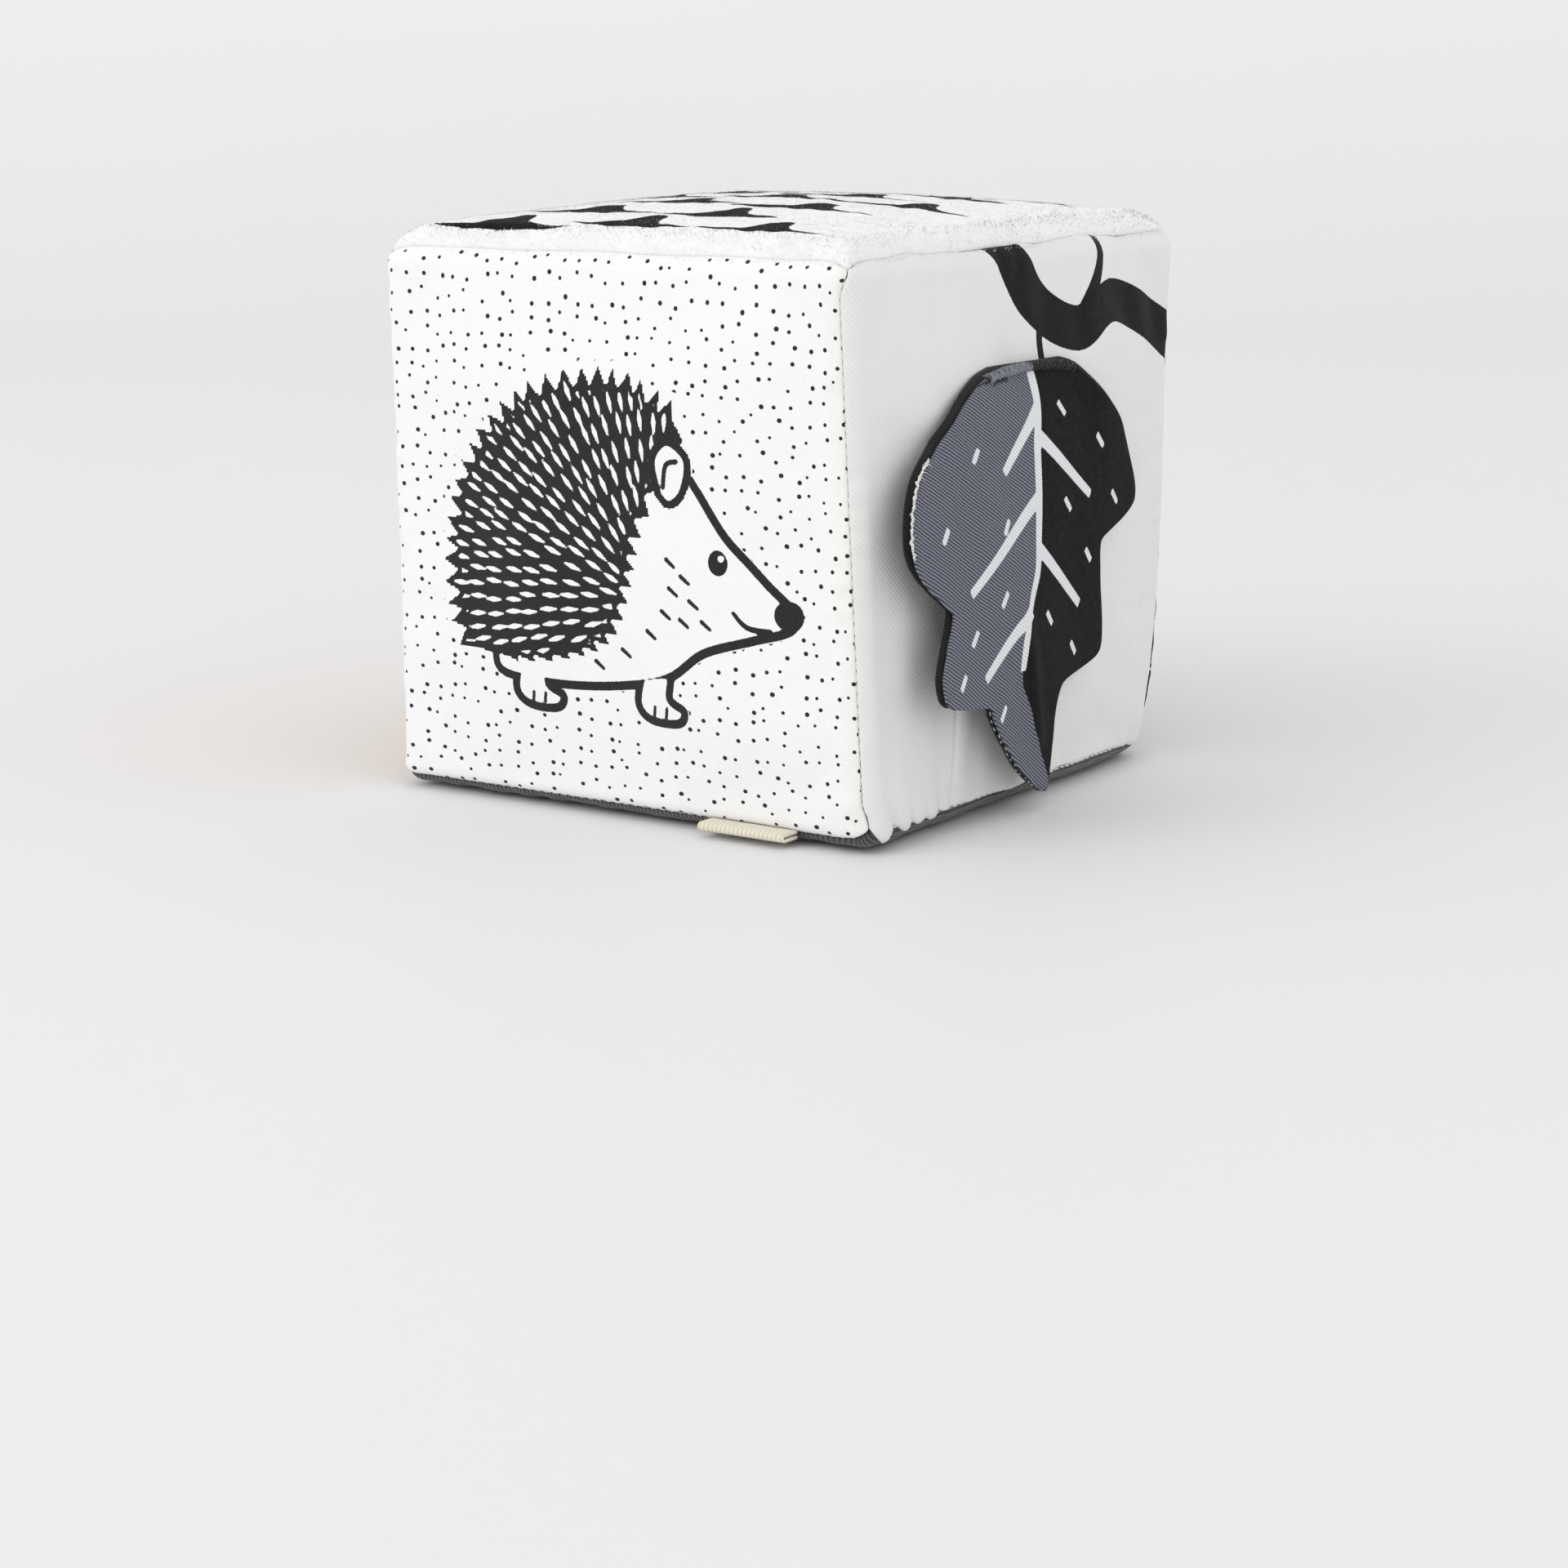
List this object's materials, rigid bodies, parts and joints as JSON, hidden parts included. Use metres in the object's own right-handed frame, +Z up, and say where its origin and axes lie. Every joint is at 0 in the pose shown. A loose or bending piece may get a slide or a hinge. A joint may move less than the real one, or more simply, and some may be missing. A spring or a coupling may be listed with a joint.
{
  "type": "soft fabric block",
  "caption": "Soft fabric block for a baby: a foam-filled cube sewn from cloth panels, with a rattle inside, a leaf flap that lifts on one side and a folded tape tab in a seam.",
  "frame": {"origin": "middle of the flat patch under the block, where it rests on the floor", "axes": "+Z up; -Y out of the front panel, where the tape tab is; +X out of the right panel, where the leaf flap hangs"},
  "size_m": [0.1503, 0.1428, 0.1387],
  "materials": {
    "white_twill": "matte",
    "natural_twill": "matte",
    "black_twill": "matte",
    "mustard_twill": "matte",
    "white_plush": "matte",
    "charcoal_knit": "matte",
    "pale_thread": "matte",
    "dark_thread": "matte",
    "core_foam": "matte",
    "capsule_plastic": "satin",
    "ball_metal": "satin",
    "leaf_backing": "matte",
    "crinkle_film": "gloss",
    "leaf_twill": "matte",
    "bar_thread": "matte",
    "cotton_tape": "matte"
  },
  "bodies": {
    "block": {"front_dotted_panel": "white_twill", "right_plain_panel": "natural_twill", "back_speckled_panel": "black_twill", "left_mustard_panel": "mustard_twill", "top_plush_panel": "white_plush", "bottom_knit_panel": "charcoal_knit", "seam_front_top": "pale_thread", "seam_front_bottom": "pale_thread", "seam_front_right": "pale_thread", "seam_front_left": "pale_thread", "seam_right_top": "pale_thread", "seam_right_bottom": "pale_thread", "seam_left_top": "pale_thread", "seam_left_bottom": "pale_thread", "seam_back_top": "pale_thread", "seam_back_right": "pale_thread", "seam_back_left": "pale_thread", "seam_back_bottom_left": "dark_thread", "closing_stitch": "dark_thread", "seam_back_bottom_right": "dark_thread", "foam_core_lower": "core_foam", "foam_core_upper": "core_foam", "rattle_cup": "capsule_plastic", "rattle_lid": "capsule_plastic", "leaf_stitch_bar": "bar_thread"},
    "leaf": {"leaf_back_ply": "leaf_backing", "leaf_crinkle_film": "crinkle_film", "leaf_front_ply": "leaf_twill"},
    "tab": {"tape_tab": "cotton_tape"},
    "ball": {"rattle_ball": "ball_metal"}
  },
  "joints": [
    {"name": "leaf_lift", "type": "hinge", "parent": "block", "child": "leaf", "pos_m": [0.07077, -0.0025, 0.10346], "axis": [0, -1, 0], "range_deg": [0, 150]},
    {"name": "tab_flip", "type": "hinge", "parent": "block", "child": "tab", "pos_m": [0.0385, -0.0677, 0.00266], "axis": [-1, 0, 0], "range_deg": [0, 65]},
    {"name": "ball_rattle", "type": "slide", "parent": "block", "child": "ball", "axis": [0, 0, 1], "range_m": [0, 0.0154]}
  ]
}
